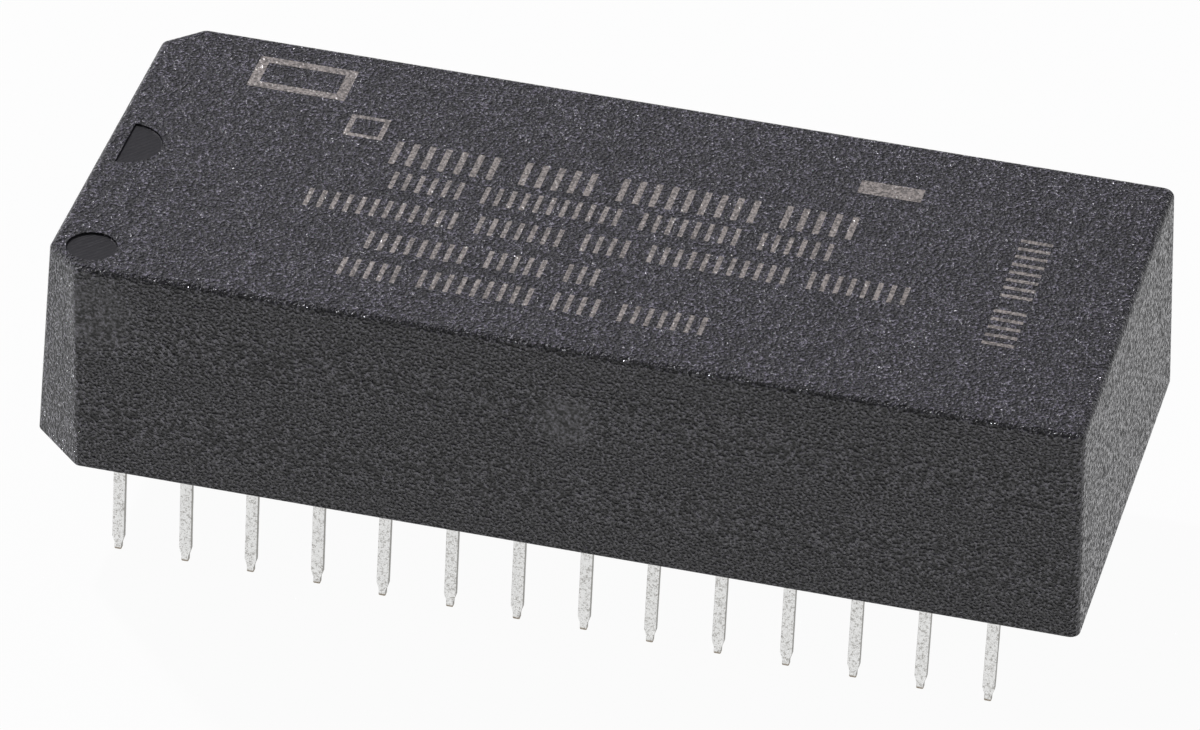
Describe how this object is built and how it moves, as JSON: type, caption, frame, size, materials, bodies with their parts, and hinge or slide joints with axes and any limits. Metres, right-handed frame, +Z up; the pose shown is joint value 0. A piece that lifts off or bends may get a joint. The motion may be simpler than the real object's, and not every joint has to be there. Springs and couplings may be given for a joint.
{
  "type": "nvram chip",
  "caption": "Battery-backed memory chip: a drafted black cap, bevelled at the pin 1 end and potted over a chip and a button cell, standing on two rows of flat leads.",
  "frame": {"origin": "middle of the footprint, at the level of the lead tips", "axes": "+X along the lead rows, away from the pin 1 end; +Y from the row of pin 1 to the far row; +Z up to the cap's top"},
  "size_m": [0.0396, 0.0182, 0.0128],
  "materials": {
    "cap_plastic": "black moulded plastic with spark-eroded grain",
    "potting_epoxy": "poured black epoxy",
    "moulding_epoxy": "moulded black epoxy",
    "tinned_lead": "matte tin plate",
    "frame_alloy": "stamped lead frame strip",
    "silicon": "polished silicon",
    "gold_wire": "gold wire",
    "plated_steel": "nickel-plated steel",
    "gasket_plastic": "natural moulded plastic",
    "lithium": "soft rolled metal",
    "separator_fleece": "non-woven fleece",
    "cathode_mix": "pressed carbon pellet",
    "nickel_strip": "rolled nickel strip"
  },
  "bodies": {
    "root": {"battery_lead_negative": "frame_alloy", "battery_lead_positive": "frame_alloy", "bond_wires": "gold_wire", "cap": "cap_plastic", "cell_anode": "lithium", "cell_can": "plated_steel", "cell_cathode": "cathode_mix", "cell_gasket": "gasket_plastic", "cell_lid": "plated_steel", "cell_separator": "separator_fleece", "cell_tab_negative": "nickel_strip", "cell_tab_positive": "nickel_strip", "die": "silicon", "die_paddle": "frame_alloy", "ic_body": "moulding_epoxy", "pin_01": "tinned_lead", "pin_02": "tinned_lead", "pin_03": "tinned_lead", "pin_04": "tinned_lead", "pin_05": "tinned_lead", "pin_06": "tinned_lead", "pin_07": "tinned_lead", "pin_08": "tinned_lead", "pin_09": "tinned_lead", "pin_10": "tinned_lead", "pin_11": "tinned_lead", "pin_12": "tinned_lead", "pin_13": "tinned_lead", "pin_14": "tinned_lead", "pin_15": "tinned_lead", "pin_16": "tinned_lead", "pin_17": "tinned_lead", "pin_18": "tinned_lead", "pin_19": "tinned_lead", "pin_20": "tinned_lead", "pin_21": "tinned_lead", "pin_22": "tinned_lead", "pin_23": "tinned_lead", "pin_24": "tinned_lead", "pin_25": "tinned_lead", "pin_26": "tinned_lead", "pin_27": "tinned_lead", "pin_28": "tinned_lead", "potting": "potting_epoxy"}
  },
  "joints": []
}
